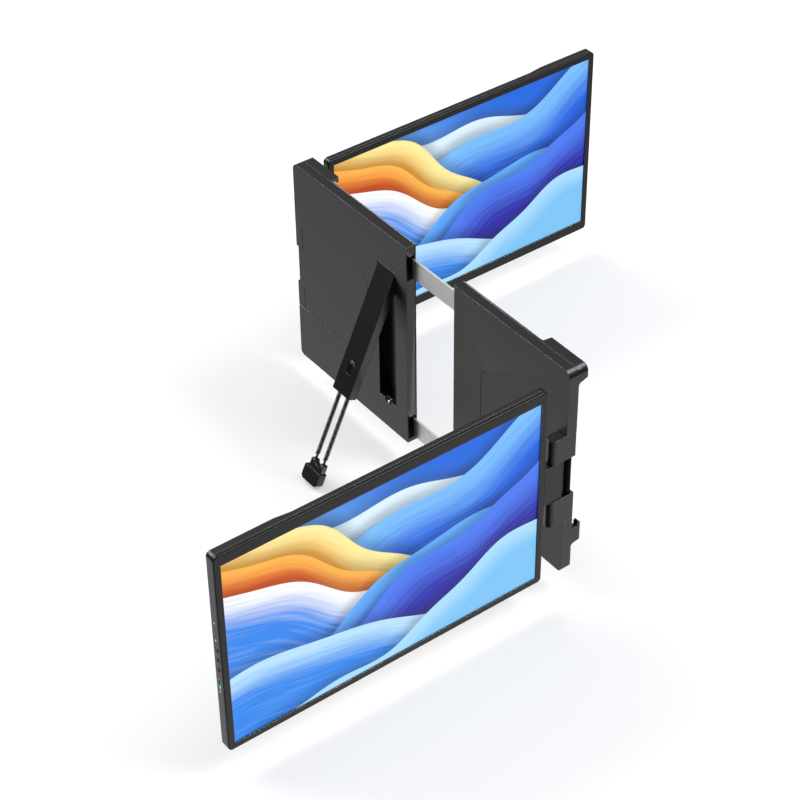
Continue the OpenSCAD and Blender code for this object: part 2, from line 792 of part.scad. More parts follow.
// ------------------------------------------------------- links and screens
module left_upper_arm() color(arm_grey) up() left_link() upper_arm();
module left_lower_arm() color(arm_grey) up() left_link() lower_arm();
module left_link_barrel() color(hinge_black) up() left_link() link_barrel();
module right_upper_arm() color(arm_grey) up() right_link() upper_arm();
module right_lower_arm() color(arm_grey) up() right_link() lower_arm();
module right_link_barrel() color(hinge_black) up() right_link() link_barrel();
module left_knuckle() color(hook_grey) up() left_screen() knuckle();
module left_knuckle_pin() color(steel) up() left_screen() knuckle_pin();
module left_bezel() color(hinge_black) up() left_screen() bezel();
module left_display() color(display_blue) up() left_screen() display();
module left_light_guide() color("#e6e6e0") up() left_screen() light_guide();
module left_back_cover() color(shell_grey) up() left_screen() back_cover();
module left_control_board() color(board_green) up() left_screen() control_board();
module left_usb_port() color(steel) up() left_screen() usb_port();
module left_button_1() color(rubber_black) up() left_screen() menu_button(0);
module left_button_2() color(rubber_black) up() left_screen() menu_button(1);
module left_button_3() color(rubber_black) up() left_screen() menu_button(2);
module left_edge_screws() color("#d8d8d8") up() left_screen() edge_screws();
module right_knuckle() color(hook_grey) up() right_screen() knuckle();
module right_knuckle_pin() color(steel) up() right_screen() knuckle_pin();
module right_bezel() color(hinge_black) up() right_screen() bezel();
module right_display() color(display_blue) up() right_screen() display();
module right_light_guide() color("#e6e6e0") up() right_screen() light_guide();
module right_back_cover() color(shell_grey) up() right_screen() back_cover();
module right_control_board() color(board_green) up() right_screen() control_board();
module right_usb_port() color(steel) up() right_screen() usb_port();
module right_button_1() color(rubber_black) up() right_screen() menu_button(0);
module right_button_2() color(rubber_black) up() right_screen() menu_button(1);
module right_button_3() color(rubber_black) up() right_screen() menu_button(2);
module right_edge_screws() color("#d8d8d8") up() right_screen() edge_screws();
module stand_leg() color(hook_grey) up() on_stand() leg();
module stand_rods() color(steel) up() on_stand() rods();
module stand_foot() color(rubber_black) up() on_stand() foot();
module stand_button() color(rubber_black) up() on_stand() release_button();
module stand_lock_pawl() color(steel) up() on_stand() lock_pawl();

// ------------------------------------------------------------------- draw
left_back_shell();
left_front_shell();
left_cover_plate();
left_top_hook();
left_bottom_hook();
left_lid_pads();
left_shell_screws();
left_axle_pin();
upper_rail_guides();
lower_rail_guides();
stand_pivot_pin();
detent_dome();
right_back_shell();
right_front_shell();
right_cover_plate();
right_top_hook();
right_bottom_hook();
right_lid_pads();
right_shell_screws();
right_axle_pin();
upper_rail();
lower_rail();
rail_screws();
left_upper_arm();
left_lower_arm();
left_link_barrel();
right_upper_arm();
right_lower_arm();
right_link_barrel();
left_knuckle();
left_knuckle_pin();
left_bezel();
left_display();
left_light_guide();
left_back_cover();
left_control_board();
left_usb_port();
left_button_1();
left_button_2();
left_button_3();
left_edge_screws();
right_knuckle();
right_knuckle_pin();
right_bezel();
right_display();
right_light_guide();
right_back_cover();
right_control_board();
right_usb_port();
right_button_1();
right_button_2();
right_button_3();
right_edge_screws();
stand_leg();
stand_rods();
stand_foot();
stand_button();
stand_lock_pawl();
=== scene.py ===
import json
import math

import bmesh
import bpy
from mathutils import Matrix, Vector


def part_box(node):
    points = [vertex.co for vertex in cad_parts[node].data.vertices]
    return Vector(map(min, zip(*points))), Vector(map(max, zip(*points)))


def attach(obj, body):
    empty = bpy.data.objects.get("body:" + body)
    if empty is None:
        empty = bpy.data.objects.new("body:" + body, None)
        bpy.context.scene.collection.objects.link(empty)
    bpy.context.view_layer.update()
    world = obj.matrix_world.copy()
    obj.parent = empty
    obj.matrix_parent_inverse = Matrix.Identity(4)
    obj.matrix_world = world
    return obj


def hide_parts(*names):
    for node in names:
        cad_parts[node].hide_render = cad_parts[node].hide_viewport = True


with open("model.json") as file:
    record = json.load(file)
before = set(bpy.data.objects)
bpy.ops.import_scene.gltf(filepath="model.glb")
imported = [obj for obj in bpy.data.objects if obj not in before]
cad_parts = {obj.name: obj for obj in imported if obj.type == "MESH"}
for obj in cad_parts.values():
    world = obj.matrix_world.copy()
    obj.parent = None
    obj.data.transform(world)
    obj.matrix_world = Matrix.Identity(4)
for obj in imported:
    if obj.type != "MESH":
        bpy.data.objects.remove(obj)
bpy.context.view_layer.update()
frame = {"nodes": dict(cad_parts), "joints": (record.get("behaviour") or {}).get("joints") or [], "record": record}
cadNodes = frame["nodes"]
record = frame["record"]
mm = 0.001
slotOf = {row["node"]: row["material_slot"] for row in record["subparts"]}
bodyOf = {node: body for body, names in record["behaviour"]["bodies"].items() for node in names}
jointOf = {joint["name"]: joint for joint in frame["joints"]}
print("stage: frame with", len(cadNodes), "nodes")


# colours are written as sRGB hex and turned to linear here
def hexColor(text):
    parts = [int(text[i:i + 2], 16) / 255 for i in (1, 3, 5)]
    return tuple(c / 12.92 if c <= 0.04045 else ((c + 0.055) / 1.055) ** 2.4 for c in parts) + (1.0,)


# a long lens from above the back right, turned a little about its own axis; degrees and millimetres
cameraView = {
    "azimuth": 53.54, "elevation": 39.28, "roll": -0.75,
    "target": (30.8, -53.2, 131.8), "distance": 1908.1, "lens": 101.17, "sensor": 36.0,
    "clipMetres": (0.05, 50.0),
}


def addCamera(v):
    azimuth, elevation, roll = (math.radians(v[k]) for k in ("azimuth", "elevation", "roll"))
    level = Vector((math.cos(azimuth), math.sin(azimuth), 0))
    ahead = Vector((-level.y, level.x, 0)) * math.cos(elevation) - Vector((0, 0, math.sin(elevation)))
    right = level * math.cos(roll) + level.cross(ahead) * math.sin(roll)
    up = right.cross(ahead)
    place = (Vector(v["target"]) - ahead * v["distance"]) * mm
    data = bpy.data.cameras.new("camera")
    data.lens, data.sensor_width = v["lens"], v["sensor"]
    data.clip_start, data.clip_end = v["clipMetres"]
    cam = bpy.data.objects.new("camera", data)
    cam.matrix_world = Matrix((
        (right.x, up.x, -ahead.x, place.x), (right.y, up.y, -ahead.y, place.y),
        (right.z, up.z, -ahead.z, place.z), (0, 0, 0, 1)))
    bpy.context.collection.objects.link(cam)
    bpy.context.scene.camera = cam


addCamera(cameraView)
print("stage: camera")


# adds a node; a value that is a socket becomes a link
def addNode(tree, kind, values=None, **settings):
    node = tree.nodes.new(kind)
    for name, value in settings.items():
        setattr(node, name, value)
    for name, value in (values or {}).items():
        if isinstance(value, bpy.types.NodeSocket):
            tree.links.new(value, node.inputs[name])
        else:
            node.inputs[name].default_value = value
    return node


# an empty material: itself, its tree, its shader and the place on the piece that patterns start from
def newMaterial(name):
    material = bpy.data.materials.new(name)
    material.use_nodes = True
    tree = material.node_tree
    tree.nodes.clear()
    shader = addNode(tree, "ShaderNodeBsdfPrincipled")
    addNode(tree, "ShaderNodeOutputMaterial", {"Surface": shader.outputs["BSDF"]})
    return material, tree, shader, addNode(tree, "ShaderNodeTexCoord").outputs["Object"]


# a colour that drifts between two shades of itself
def driftColor(tree, factor, color, spread):
    darker, lighter = (tuple(min(1, c * k) for c in hexColor(color)[:3]) + (1,) for k in (1 - spread, 1 + spread))
    return addNode(tree, "ShaderNodeMix", {0: factor, 6: darker, 7: lighter}, data_type="RGBA").outputs[2]


# ABS moulded in a spark-eroded tool: nearly black, so that its grey is the
# soft sheen of what stands round it; the grain only breaks that sheen up, and
# every edge is worn smooth over edgeMm, which draws the lamps as a fine line
mouldedSkin = {
    "ior": 1.5, "cloudScale": 12.0, "drift": 0.12, "smoother": -0.04, "rougher": 0.05, "reliefMm": 0.05,
    "edgeSamples": 8, "edgeStart": 0.97, "edgeFull": 0.85,
}


def mouldedAbs(name, color, rough=0.3, grainMm=0.5, bump=0.06, sheen=0.5, edgeMm=0.6, edgeShine=3.0):
    s = mouldedSkin
    material, tree, shader, place = newMaterial(name)
    grain = addNode(tree, "ShaderNodeTexNoise", {
        "Vector": place, "Scale": 1 / (grainMm * mm), "Detail": 3.0}).outputs["Fac"]
    cloud = addNode(tree, "ShaderNodeTexNoise", {
        "Vector": place, "Scale": s["cloudScale"], "Detail": 2.0}).outputs["Fac"]
    tree.links.new(driftColor(tree, cloud, color, s["drift"]), shader.inputs["Base Color"])
    spread = addNode(tree, "ShaderNodeMapRange", {
        "Value": grain, "To Min": rough + s["smoother"], "To Max": rough + s["rougher"]})
    tree.links.new(spread.outputs["Result"], shader.inputs["Roughness"])
    shader.inputs["IOR"].default_value = s["ior"]
    worn = addNode(tree, "ShaderNodeBevel", {"Radius": edgeMm * mm}, samples=s["edgeSamples"]).outputs["Normal"]
    face = addNode(tree, "ShaderNodeNewGeometry").outputs["True Normal"]
    flat = addNode(tree, "ShaderNodeVectorMath", {0: worn, 1: face}, operation="DOT_PRODUCT")
    shine = addNode(tree, "ShaderNodeMapRange", {
        "Value": flat.outputs["Value"], "From Min": s["edgeStart"], "From Max": s["edgeFull"],
        "To Min": sheen, "To Max": sheen * edgeShine})
    tree.links.new(shine.outputs["Result"], shader.inputs["Specular IOR Level"])
    relief = addNode(tree, "ShaderNodeBump", {
        "Height": grain, "Strength": bump, "Distance": s["reliefMm"] * mm, "Normal": worn})
    tree.links.new(relief.outputs["Normal"], shader.inputs["Normal"])
    return material


# brushed stainless strip: long fine lines along it spread the light across them;
# the lines are drawn coarser than real ones, so that they show
railBrushing = {
    "color": "#ececee", "drift": 0.22, "along": 0, "lineMm": 0.5, "stretch": 0.015,
    "rough": (0.32, 0.52), "relief": 0.3, "reliefMm": 0.05,
}


def brushedStainless(name, s):
    material, tree, shader, place = newMaterial(name)
    scale = tuple((s["stretch"] if axis == s["along"] else 1.0) / (s["lineMm"] * mm) for axis in range(3))
    drawn = addNode(tree, "ShaderNodeMapping", {"Vector": place, "Scale": scale}).outputs["Vector"]
    lines = addNode(tree, "ShaderNodeTexNoise", {"Vector": drawn, "Scale": 1.0, "Detail": 4.0}).outputs["Fac"]
    tree.links.new(driftColor(tree, lines, s["color"], s["drift"]), shader.inputs["Base Color"])
    shader.inputs["Metallic"].default_value = 1.0
    smoothest, roughest = s["rough"]
    spread = addNode(tree, "ShaderNodeMapRange", {"Value": lines, "To Min": smoothest, "To Max": roughest})
    tree.links.new(spread.outputs["Result"], shader.inputs["Roughness"])
    relief = addNode(tree, "ShaderNodeBump", {
        "Height": lines, "Strength": s["relief"], "Distance": s["reliefMm"] * mm})
    tree.links.new(relief.outputs["Normal"], shader.inputs["Normal"])
    return material


# turned steel, bright or blacked with oxide: faint tool marks make its shine uneven
toolMarks = {"markMm": 0.8, "drift": 0.12, "smoother": -0.05, "rougher": 0.08}


def turnedSteel(name, color, rough):
    s = toolMarks
    material, tree, shader, place = newMaterial(name)
    marks = addNode(tree, "ShaderNodeTexNoise", {
        "Vector": place, "Scale": 1 / (s["markMm"] * mm), "Detail": 2.0}).outputs["Fac"]
    tree.links.new(driftColor(tree, marks, color, s["drift"]), shader.inputs["Base Color"])
    shader.inputs["Metallic"].default_value = 1.0
    spread = addNode(tree, "ShaderNodeMapRange", {
        "Value": marks, "To Min": rough + s["smoother"], "To Max": rough + s["rougher"]})
    tree.links.new(spread.outputs["Result"], shader.inputs["Roughness"])
    return material


# a lamp behind clear plastic: an almost even glow under a glossy skin
lensGlow = {"cloudScale": 600.0, "drift": 0.1, "rough": 0.2}


def glowingLens(name, color, strength):
    s = lensGlow
    material, tree, shader, place = newMaterial(name)
    cloud = addNode(tree, "ShaderNodeTexNoise", {"Vector": place, "Scale": s["cloudScale"]}).outputs["Fac"]
    glow = driftColor(tree, cloud, color, s["drift"])
    tree.links.new(glow, shader.inputs["Base Color"])
    tree.links.new(glow, shader.inputs["Emission Color"])
    shader.inputs["Emission Strength"].default_value = strength
    shader.inputs["Roughness"].default_value = s["rough"]
    return material


# the picture: smooth sheets that overlap, each lit at its crest and fading below it.
# turn is in degrees, height and swing in picture widths, swells are (size, waves, phase)
pictureSheets = [
    {"turn": -14, "height": 0.235, "swells": ((0.030, 7.5, 0.6), (0.010, 17, 2.0)),
     "crest": "#e2f5ff", "body": "#2f8df0", "fade": 0.20},
    {"turn": 22, "height": 0.150, "swells": ((0.050, 6.0, 2.4), (0.012, 15, 0.3)),
     "crest": "#7cc0ff", "body": "#1260e0", "fade": 0.17},
    {"turn": -30, "height": 0.085, "swells": ((0.045, 7.0, 4.1), (0.010, 19, 1.0)),
     "crest": "#fff0a0", "body": "#f9a51a", "fade": 0.12},
    {"turn": -25, "height": 0.035, "swells": ((0.042, 7.4, 4.5), (0.008, 21, 2.2)),
     "crest": "#ffb84d", "body": "#e4550f", "fade": 0.08},
    {"turn": -19, "height": 0.000, "swells": ((0.040, 7.8, 4.9), (0.009, 18, 0.2)),
     "crest": "#ffffff", "body": "#2f86ee", "fade": 0.13},
    {"turn": 12, "height": -0.050, "swells": ((0.060, 6.2, 0.9), (0.012, 16, 2.7)),
     "crest": "#62aeff", "body": "#0f4fd8", "fade": 0.14},
    {"turn": 30, "height": -0.100, "swells": ((0.050, 7.2, 1.9), (0.010, 20, 0.9)),
     "crest": "#4a7cf4", "body": "#2420a8", "fade": 0.16},
    {"turn": -8, "height": -0.165, "swells": ((0.038, 6.6, 3.3), (0.010, 14, 1.4)),
     "crest": "#bce6ff", "body": "#2a86ee", "fade": 0.12},
    {"turn": 16, "height": -0.235, "swells": ((0.034, 8.2, 5.2), (0.008, 22, 0.4)),
     "crest": "#aee0ff", "body": "#7cc4f6", "fade": 0.10},
]
pictureSky = {"low": "#8fd4ff", "high": "#1668e0", "lean": 0.5, "from": -0.1, "to": 0.4}
sheetEdge = {"shade": 0.62, "reach": 0.055, "outside": 0.0008, "inside": 0.0012}
silkFibre = {"along": 5.0, "across": 95.0, "apart": 3.7, "strength": 0.34}
panelGlass = {"behind": "#050505", "rough": 0.35, "sheen": 0.2}


# lays one sheet over the colour that is already there
def addSheet(tree, picture, under, number, sheet):
    turn = math.radians(sheet["turn"])
    ways = (0, math.cos(turn), math.sin(turn)), (0, -math.sin(turn), math.cos(turn))
    along, across = (addNode(tree, "ShaderNodeVectorMath", {0: picture, 1: way}, operation="DOT_PRODUCT")
                     .outputs["Value"] for way in ways)
    crest = sheet["height"]
    for size, waves, phase in sheet["swells"]:
        angle = addNode(tree, "ShaderNodeMath", {0: along, 1: waves, 2: phase}, operation="MULTIPLY_ADD")
        swing = addNode(tree, "ShaderNodeMath", {0: angle.outputs[0]}, operation="SINE")
        crest = addNode(tree, "ShaderNodeMath", {0: swing.outputs[0], 1: size, 2: crest},
                        operation="MULTIPLY_ADD").outputs[0]
    depth = addNode(tree, "ShaderNodeMath", {0: crest, 1: across}, operation="SUBTRACT").outputs[0]
    steps = (
        (-sheetEdge["reach"], 0.0, 1.0, sheetEdge["shade"]),
        (0.0, sheet["fade"], -silkFibre["strength"], 1 - silkFibre["strength"]),
        (-sheetEdge["outside"], sheetEdge["inside"], 0.0, 1.0))
    shadow, fade, cover = (addNode(tree, "ShaderNodeMapRange", {
        "Value": depth, "From Min": start, "From Max": end, "To Min": first, "To Max": last},
        interpolation_type="SMOOTHSTEP").outputs["Result"] for start, end, first, last in steps)

    thread = addNode(tree, "ShaderNodeCombineXYZ", {"X": along, "Y": depth, "Z": number}).outputs["Vector"]
    stretched = addNode(tree, "ShaderNodeVectorMath", {
        0: thread, 1: (silkFibre["along"], silkFibre["across"], silkFibre["apart"])}, operation="MULTIPLY")
    fibre = addNode(tree, "ShaderNodeTexNoise", {
        "Vector": stretched.outputs["Vector"], "Scale": 1.0, "Detail": 3.0}).outputs["Fac"]
    deeper = addNode(tree, "ShaderNodeMath", {0: fibre, 1: silkFibre["strength"] * 2, 2: fade},
                     operation="MULTIPLY_ADD").outputs[0]
    tone = addNode(tree, "ShaderNodeMix", {
        0: deeper, 6: hexColor(sheet["crest"]), 7: hexColor(sheet["body"])}, data_type="RGBA").outputs[2]
    shaded = addNode(tree, "ShaderNodeMix", {0: 1.0, 6: under, 7: shadow},
                     data_type="RGBA", blend_type="MULTIPLY").outputs[2]
    return addNode(tree, "ShaderNodeMix", {0: cover, 6: shaded, 7: tone}, data_type="RGBA").outputs[2]


# a liquid crystal panel behind anti-glare glass: it glows by itself and has
# only a weak broad reflection
def litPanel(name, node):
    material, tree, shader, place = newMaterial(name)
    low, high = (Vector(c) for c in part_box(node))
    width, middle = high.y - low.y, (low + high) / 2
    picture = addNode(tree, "ShaderNodeMapping", {
        "Vector": place, "Scale": (0, 1 / width, 1 / width),
        "Location": (0, -middle.y / width, -middle.z / width)}).outputs["Vector"]
    sky = pictureSky
    rise = addNode(tree, "ShaderNodeVectorMath", {0: picture, 1: (0, sky["lean"], 1)}, operation="DOT_PRODUCT")
    dusk = addNode(tree, "ShaderNodeMapRange", {
        "Value": rise.outputs["Value"], "From Min": sky["from"], "From Max": sky["to"]},
        interpolation_type="SMOOTHSTEP").outputs["Result"]
    color = addNode(tree, "ShaderNodeMix", {
        0: dusk, 6: hexColor(sky["low"]), 7: hexColor(sky["high"])}, data_type="RGBA").outputs[2]
    for number, sheet in enumerate(pictureSheets):
        color = addSheet(tree, picture, color, number, sheet)
    tree.links.new(color, shader.inputs["Emission Color"])
    shader.inputs["Emission Strength"].default_value = 1.0
    shader.inputs["Base Color"].default_value = hexColor(panelGlass["behind"])
    shader.inputs["Roughness"].default_value = panelGlass["rough"]
    shader.inputs["Specular IOR Level"].default_value = panelGlass["sheen"]
    return material


finishes = {
    "shell": mouldedAbs("blackAbsHousing", "#050505", edgeMm=0.4),
    "dark_cover": mouldedAbs("blackAbsCover", "#050505", edgeMm=0.4),
    "arm": mouldedAbs("blackAbsArm", "#050505"),
    "black_plastic": mouldedAbs("blackAbsFrame", "#050505", sheen=0.3, edgeMm=0.9, edgeShine=8.0),
    "knuckle": mouldedAbs("blackAbsKnuckle", "#050505", rough=0.35, sheen=0.38),
    "leg": mouldedAbs("blackAbsLeg", "#080808", sheen=0.75),
    # acetal bearings: pure black and dull, darker than the plastic round them as painted shade, so that they read
    # as a gap
    "bearing": mouldedAbs("blackAcetalBearing", "#010101", rough=0.45, sheen=0.03),
    # silicone pads: a coarser, duller skin than the plastic round them
    "rubber": mouldedAbs("siliconeRubber", "#060606", rough=0.4, grainMm=0.7, sheen=0.55),
    # cast acrylic sheet and lacquered board, both inside: one white and smooth, one green
    "light_guide": mouldedAbs("whiteAcrylicGuide", "#e4e6e4", rough=0.2, bump=0.0),
    "board": mouldedAbs("greenSolderMask", "#1d5a34"),
    "steel": turnedSteel("brightTurnedSteel", "#c4c4c2", 0.25),
    "dark_steel": turnedSteel("oxideBlackSteel", "#5c5c5c", 0.3),
    "whiteScrew": turnedSteel("nickelPlatedScrew", "#f2f2f0", 0.3),
    "rail_metal": brushedStainless("brushedStainlessRail", railBrushing),
    "greenLamp": glowingLens("greenPilotLens", "#38d64e", 0.8),
}
for side in ("left", "right"):
    finishes[side + "Panel"] = litPanel(side + "LitPanel", side + "_display")


def finishOf(name):
    if name.endswith("_display"):
        return finishes[name.split("_")[0] + "Panel"]
    if name.endswith("_edge_screws"):
        return finishes["whiteScrew"]
    if name == "stand_leg":
        return finishes["leg"]
    if name.endswith("_knuckle"):
        return finishes["knuckle"]
    # link barrels and rail guides: pure black as painted shade for the dark gaps they sit in
    if name.endswith(("_barrel", "_guides")):
        return finishes["bearing"]
    return finishes[slotOf[name]]


for name, node in cadNodes.items():
    node.data.materials.clear()
    node.data.materials.append(finishOf(name))
print("stage: materials")


def pieceName(name):
    first, *rest = name.split("_")
    return first + "".join(word.capitalize() for word in rest)


# smooth over curves, crisp at edges that turn by more than the angle
def shadeByAngle(mesh, degrees=30):
    mesh.polygons.foreach_set("use_smooth", [True] * len(mesh.polygons))
    mesh.set_sharp_from_angle(angle=math.radians(degrees))


def addPiece(name, mesh, material, body, replaced=()):
    mesh.materials.clear()
    mesh.materials.append(material)
    piece = bpy.data.objects.new(name, mesh)
    bpy.context.collection.objects.link(piece)
    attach(piece, body)
    if replaced:
        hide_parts(*replaced)


def bevelEdges(work, edges, width, steps):
    if edges:
        bmesh.ops.bevel(work, geom=edges, offset=width * mm, offset_type="OFFSET", segments=steps,
                        profile=0.5, affect="EDGES", clamp_overlap=True)


# how near counts as the same corner, the same plane, upright or sharp
edgeFinding = {
    "mergeMm": 0.001, "planeMm": 0.02, "openingMm": 0.1, "flatDegrees": 0.6, "sharpDegrees": 35,
    "uprightShare": 0.99,
}
faceWeights = {"crispDegrees": 50, "weight": 100}


# sharp convex edges of a mesh, without those that lie in one plane or fail a test
def sharpEdges(work, keepFlat=None, wanted=None):
    found = []
    for edge in work.edges:
        if not edge.is_convex or edge.calc_face_angle(0) < math.radians(edgeFinding["sharpDegrees"]):
            continue
        if keepFlat:
            axis, level = keepFlat
            if all(abs(v.co[axis] - level) < edgeFinding["planeMm"] * mm for v in edge.verts):
                continue
        if wanted and not wanted(edge):
            continue
        found.append(edge)
    return found


# flat faces keep their own normals, and only the rounded edges between them blend
def hardenNormals(mesh, name):
    shadeByAngle(mesh, faceWeights["crispDegrees"])
    holder = bpy.data.objects.new("holder", mesh)
    bpy.context.collection.objects.link(holder)
    weights = holder.modifiers.new("weights", "WEIGHTED_NORMAL")
    weights.mode, weights.weight, weights.keep_sharp = "FACE_AREA", faceWeights["weight"], True
    hardened = bpy.data.meshes.new_from_object(holder.evaluated_get(bpy.context.evaluated_depsgraph_get()))
    hardened.name = name
    bpy.data.objects.remove(holder)
    bpy.data.meshes.remove(mesh)
    return hardened


# a copy of a CAD node with its doubled corners merged
def mergedCopy(name):
    work = bmesh.new()
    work.from_mesh(cadNodes[name].data)
    bmesh.ops.remove_doubles(work, verts=work.verts, dist=edgeFinding["mergeMm"] * mm)
    return work


# a CAD node with its edges rounded so that they catch the light
def softenNode(name, widths, keepFlat=None, steps=3):
    work = mergedCopy(name)
    bmesh.ops.dissolve_limit(work, angle_limit=math.radians(edgeFinding["flatDegrees"]),
                             verts=work.verts, edges=work.edges)
    for width, wanted in widths:
        bevelEdges(work, sharpEdges(work, keepFlat, wanted), width, steps)
    mesh = bpy.data.meshes.new("softened")
    work.to_mesh(mesh)
    work.free()
    mesh = hardenNormals(mesh, pieceName(name))
    addPiece(pieceName(name), mesh, finishOf(name), bodyOf[name], (name,))


# radius of the rounded edges in millimetres
edgeRadius = {
    "shellUpright": 0.7, "shell": 0.5, "cover_plate": 0.55, "top_hook": 0.6, "bottom_hook": 0.5,
    "upper_arm": 0.5, "lower_arm": 0.5, "knuckle": 0.4, "link_barrel": 0.2, "back_cover": 0.8,
    "bezelOuter": 0.9, "bezelInner": 0.15, "lid_pads": 0.2,
}
standRadius = {"stand_leg": 0.3, "stand_foot": 0.5, "stand_button": 0.2}


def upright(edge):
    step = edge.verts[1].co - edge.verts[0].co
    return abs(step.z) > edgeFinding["uprightShare"] * step.length


# picks the edges round the picture's opening, or all the others
def openingTest(side, near):
    low, high = (Vector(c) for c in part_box(side + "_display"))
    slack = edgeFinding["openingMm"] * mm

    def test(edge):
        place = (edge.verts[0].co + edge.verts[1].co) / 2
        return near == all(low[i] - slack < place[i] < high[i] + slack for i in (1, 2))

    return test


for side in ("left", "right"):
    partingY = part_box(side + "_back_shell")[1][1]
    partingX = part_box(side + "_bezel")[0][0]
    for part in ("back_shell", "front_shell"):
        softenNode(f"{side}_{part}", [(edgeRadius["shellUpright"], upright), (edgeRadius["shell"], None)],
                   keepFlat=(1, partingY))
    for part in ("cover_plate", "top_hook", "bottom_hook", "upper_arm", "lower_arm", "knuckle", "link_barrel",
                 "lid_pads"):
        softenNode(f"{side}_{part}", [(edgeRadius[part], None)])
    softenNode(side + "_bezel", [(edgeRadius["bezelOuter"], openingTest(side, False)),
                                 (edgeRadius["bezelInner"], openingTest(side, True))],
               keepFlat=(0, partingX), steps=4)
    softenNode(side + "_back_cover", [(edgeRadius["back_cover"], None)], keepFlat=(0, partingX), steps=4)
for name, radius in standRadius.items():
    softenNode(name, [(radius, None)])
print("stage: rounded edges")


# frame of the opened stand: its pivot is the origin and the leg hangs down
standUp = Vector(jointOf["stand_extend"]["axis"]).normalized()
standAcross = Vector((1, 0, 0))
standOut = standUp.cross(standAcross)
pivot = Vector(jointOf["stand_pivot"]["pos_m"])
standPlace = Matrix((
    (standAcross.x, standOut.x, standUp.x, pivot.x), (standAcross.y, standOut.y, standUp.y, pivot.y),
    (standAcross.z, standOut.z, standUp.z, pivot.z), (0, 0, 0, 1)))


# a node tree for a modifier, with its inputs in order and one mesh out
def newGeometryTree(name, inputs):
    tree = bpy.data.node_groups.new(name, "GeometryNodeTree")
    for label, kind, value in inputs:
        socket = tree.interface.new_socket(label, in_out="INPUT", socket_type=kind)
        if value is not None:
            socket.default_value = value
    tree.interface.new_socket("Geometry", in_out="OUTPUT", socket_type="NodeSocketGeometry")
    return tree, addNode(tree, "NodeGroupInput").outputs


# runs a tree on an empty object and gives back the plain mesh
def bakeTree(tree, values, meshName):
    holder = bpy.data.objects.new("holder", bpy.data.meshes.new("holder"))
    bpy.context.collection.objects.link(holder)
    modifier = holder.modifiers.new("tree", "NODES")
    modifier.node_group = tree
    for item in tree.interface.items_tree:
        if item.item_type == "SOCKET" and item.in_out == "INPUT" and item.name in values:
            modifier[item.identifier] = values[item.name]
    graph = bpy.context.evaluated_depsgraph_get()
    mesh = bpy.data.meshes.new_from_object(holder.evaluated_get(graph))
    mesh.name = meshName
    holder.modifiers.remove(modifier)
    bpy.data.objects.remove(holder)
    return mesh


# ends a tree that sets one shape on every point: real meshes with their material
def finishTree(tree, points, shape, material):
    copies = addNode(tree, "GeometryNodeInstanceOnPoints", {"Points": points, "Instance": shape})
    real = addNode(tree, "GeometryNodeRealizeInstances", {"Geometry": copies.outputs["Instances"]})
    done = addNode(tree, "GeometryNodeSetMaterial", {"Geometry": real.outputs["Geometry"], "Material": material})
    addNode(tree, "NodeGroupOutput", {"Geometry": done.outputs["Geometry"]})
    return tree


# two rods side by side, each a core with a helical ridge wound on it
threadedRod = {"diameter": 4.6, "coreDiameter": 2.2, "spacing": 11.7, "top": 88.6, "threadEnd": 190.0,
               "end": 196.0, "pitch": 2.0, "ridge": 0.5, "middle": 0.8, "out": 1.5, "crispDegrees": 35}
collarBlock = {"width": 17.7, "thickness": 5.8, "top": 194.6, "bottom": 203.1, "notch": 3.25,
               "notchStep": 12, "edge": 0.5, "edgeSteps": 3}


def threadTree(material):
    tree, given = newGeometryTree("woundThread", [
        ("Length", "NodeSocketFloat", 0.1), ("Core Length", "NodeSocketFloat", 0.1),
        ("Radius", "NodeSocketFloat", 0.002), ("Core Radius", "NodeSocketFloat", 0.001),
        ("Ridge", "NodeSocketFloat", 0.0003), ("Turns", "NodeSocketFloat", 60.0),
        ("Spacing", "NodeSocketFloat", 0.01)])
    crest = addNode(tree, "ShaderNodeMath", {0: given["Radius"], 1: given["Ridge"]},
                    operation="SUBTRACT").outputs[0]
    coil = addNode(tree, "GeometryNodeCurveSpiral", {
        "Resolution": 20, "Rotations": given["Turns"], "Start Radius": crest, "End Radius": crest,
        "Height": given["Length"]}).outputs["Curve"]
    wire = addNode(tree, "GeometryNodeCurvePrimitiveCircle", {"Resolution": 4, "Radius": given["Ridge"]})
    thread = addNode(tree, "GeometryNodeCurveToMesh", {
        "Curve": coil, "Profile Curve": wire.outputs["Curve"], "Fill Caps": True}).outputs["Mesh"]
    end = addNode(tree, "ShaderNodeCombineXYZ", {"Z": given["Core Length"]}).outputs["Vector"]
    line = addNode(tree, "GeometryNodeCurvePrimitiveLine", {"End": end}).outputs["Curve"]
    section = addNode(tree, "GeometryNodeCurvePrimitiveCircle", {
        "Resolution": 32, "Radius": given["Core Radius"]})
    core = addNode(tree, "GeometryNodeCurveToMesh", {
        "Curve": line, "Profile Curve": section.outputs["Curve"], "Fill Caps": True}).outputs["Mesh"]
    rod = addNode(tree, "GeometryNodeJoinGeometry")
    tree.links.new(thread, rod.inputs["Geometry"])
    tree.links.new(core, rod.inputs["Geometry"])
    step = addNode(tree, "ShaderNodeCombineXYZ", {"X": given["Spacing"]}).outputs["Vector"]
    pair = addNode(tree, "GeometryNodeMeshLine", {"Count": 2, "Offset": step}).outputs["Mesh"]
    return finishTree(tree, pair, rod.outputs["Geometry"], material)


def rodMesh(s):
    wound = s["threadEnd"] - s["top"]
    mesh = bakeTree(threadTree(finishes["dark_steel"]), {
        "Length": wound * mm, "Core Length": (s["end"] - s["top"]) * mm, "Radius": s["diameter"] / 2 * mm,
        "Core Radius": s["coreDiameter"] / 2 * mm, "Ridge": s["ridge"] * mm, "Turns": wound / s["pitch"],
        "Spacing": s["spacing"] * mm}, "rods")
    flip = Matrix.Rotation(math.pi, 4, "X")
    shift = Matrix.Translation(Vector((s["middle"] - s["spacing"] / 2, s["out"], -s["top"])) * mm)
    mesh.transform(shift @ flip)
    return mesh


